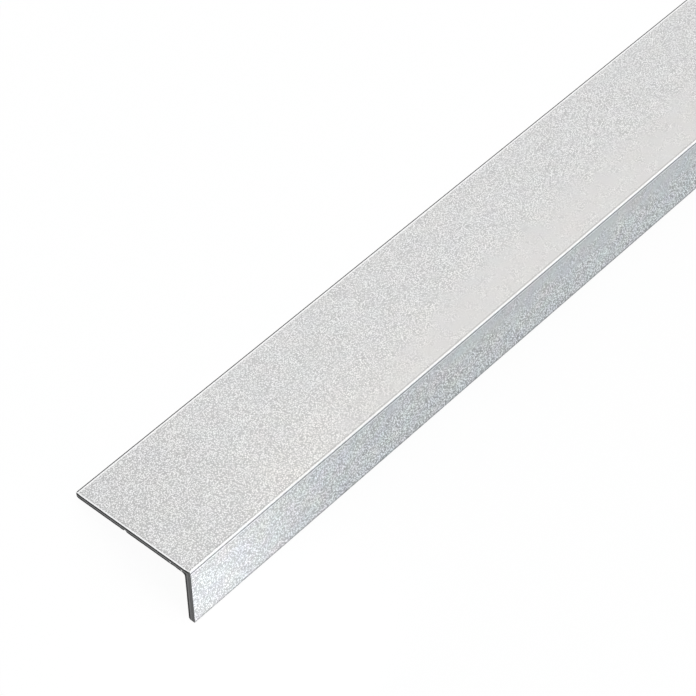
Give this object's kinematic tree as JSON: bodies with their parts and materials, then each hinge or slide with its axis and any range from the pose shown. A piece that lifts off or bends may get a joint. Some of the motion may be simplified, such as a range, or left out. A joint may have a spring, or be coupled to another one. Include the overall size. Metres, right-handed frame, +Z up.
{
  "type": "angle profile",
  "caption": "Extruded aluminium angle profile with unequal legs at a right angle, a crisp outer bend, small rounded toes and square sawn ends, lying on both toes.",
  "frame": {"origin": "on the floor, under the middle of the profile as it lies on the toes of both legs", "axes": "+X along the length, +Y across towards the toe of the wide leg, +Z up"},
  "size_m": [1, 0.0446, 0.0185],
  "materials": {
    "anodised_aluminium": "matt, fine-grained, natural silver; sawn ends bare and darker"
  },
  "bodies": {
    "root": {"angle_profile": "anodised_aluminium"}
  },
  "joints": []
}
